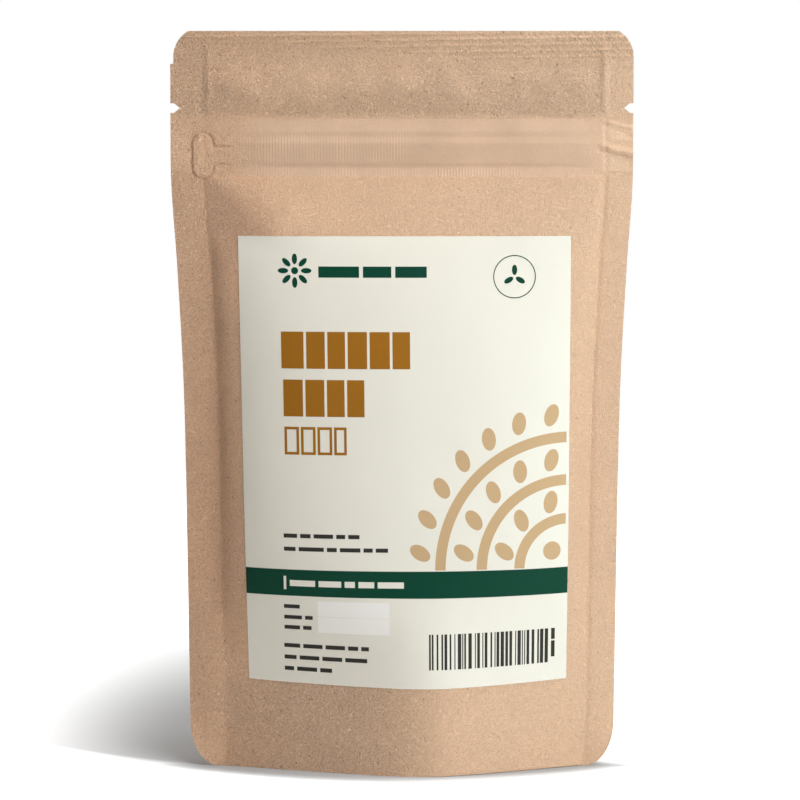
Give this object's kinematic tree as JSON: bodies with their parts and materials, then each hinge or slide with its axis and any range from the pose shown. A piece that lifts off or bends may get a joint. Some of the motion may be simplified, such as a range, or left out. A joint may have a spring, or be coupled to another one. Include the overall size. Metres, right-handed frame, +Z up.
{
  "type": "stand-up pouch",
  "caption": "Filled kraft-paper stand-up pouch with a press-shut zip, tear notches, welded sides, a gusseted base and a rectangular front label.",
  "frame": {"origin": "middle of the base at floor level, in the plane of the side welds", "axes": "+Z up, the front with the label faces -Y, +X to the right of someone who faces the label"},
  "size_m": [0.13, 0.0426, 0.2077],
  "materials": {
    "kraft_paper": "matt brown kraft paper with fine fibres, slightly smoother over the zip",
    "label_paper": "smooth cream coated paper",
    "print_green": "dark green printed ink",
    "print_brown": "ochre brown printed ink",
    "print_tan": "pale tan printed ink",
    "print_dark": "near-black printed ink",
    "print_pale": "pale grey printed field"
  },
  "bodies": {
    "root": {"pouch": "kraft_paper", "label": "label_paper"}
  },
  "joints": []
}
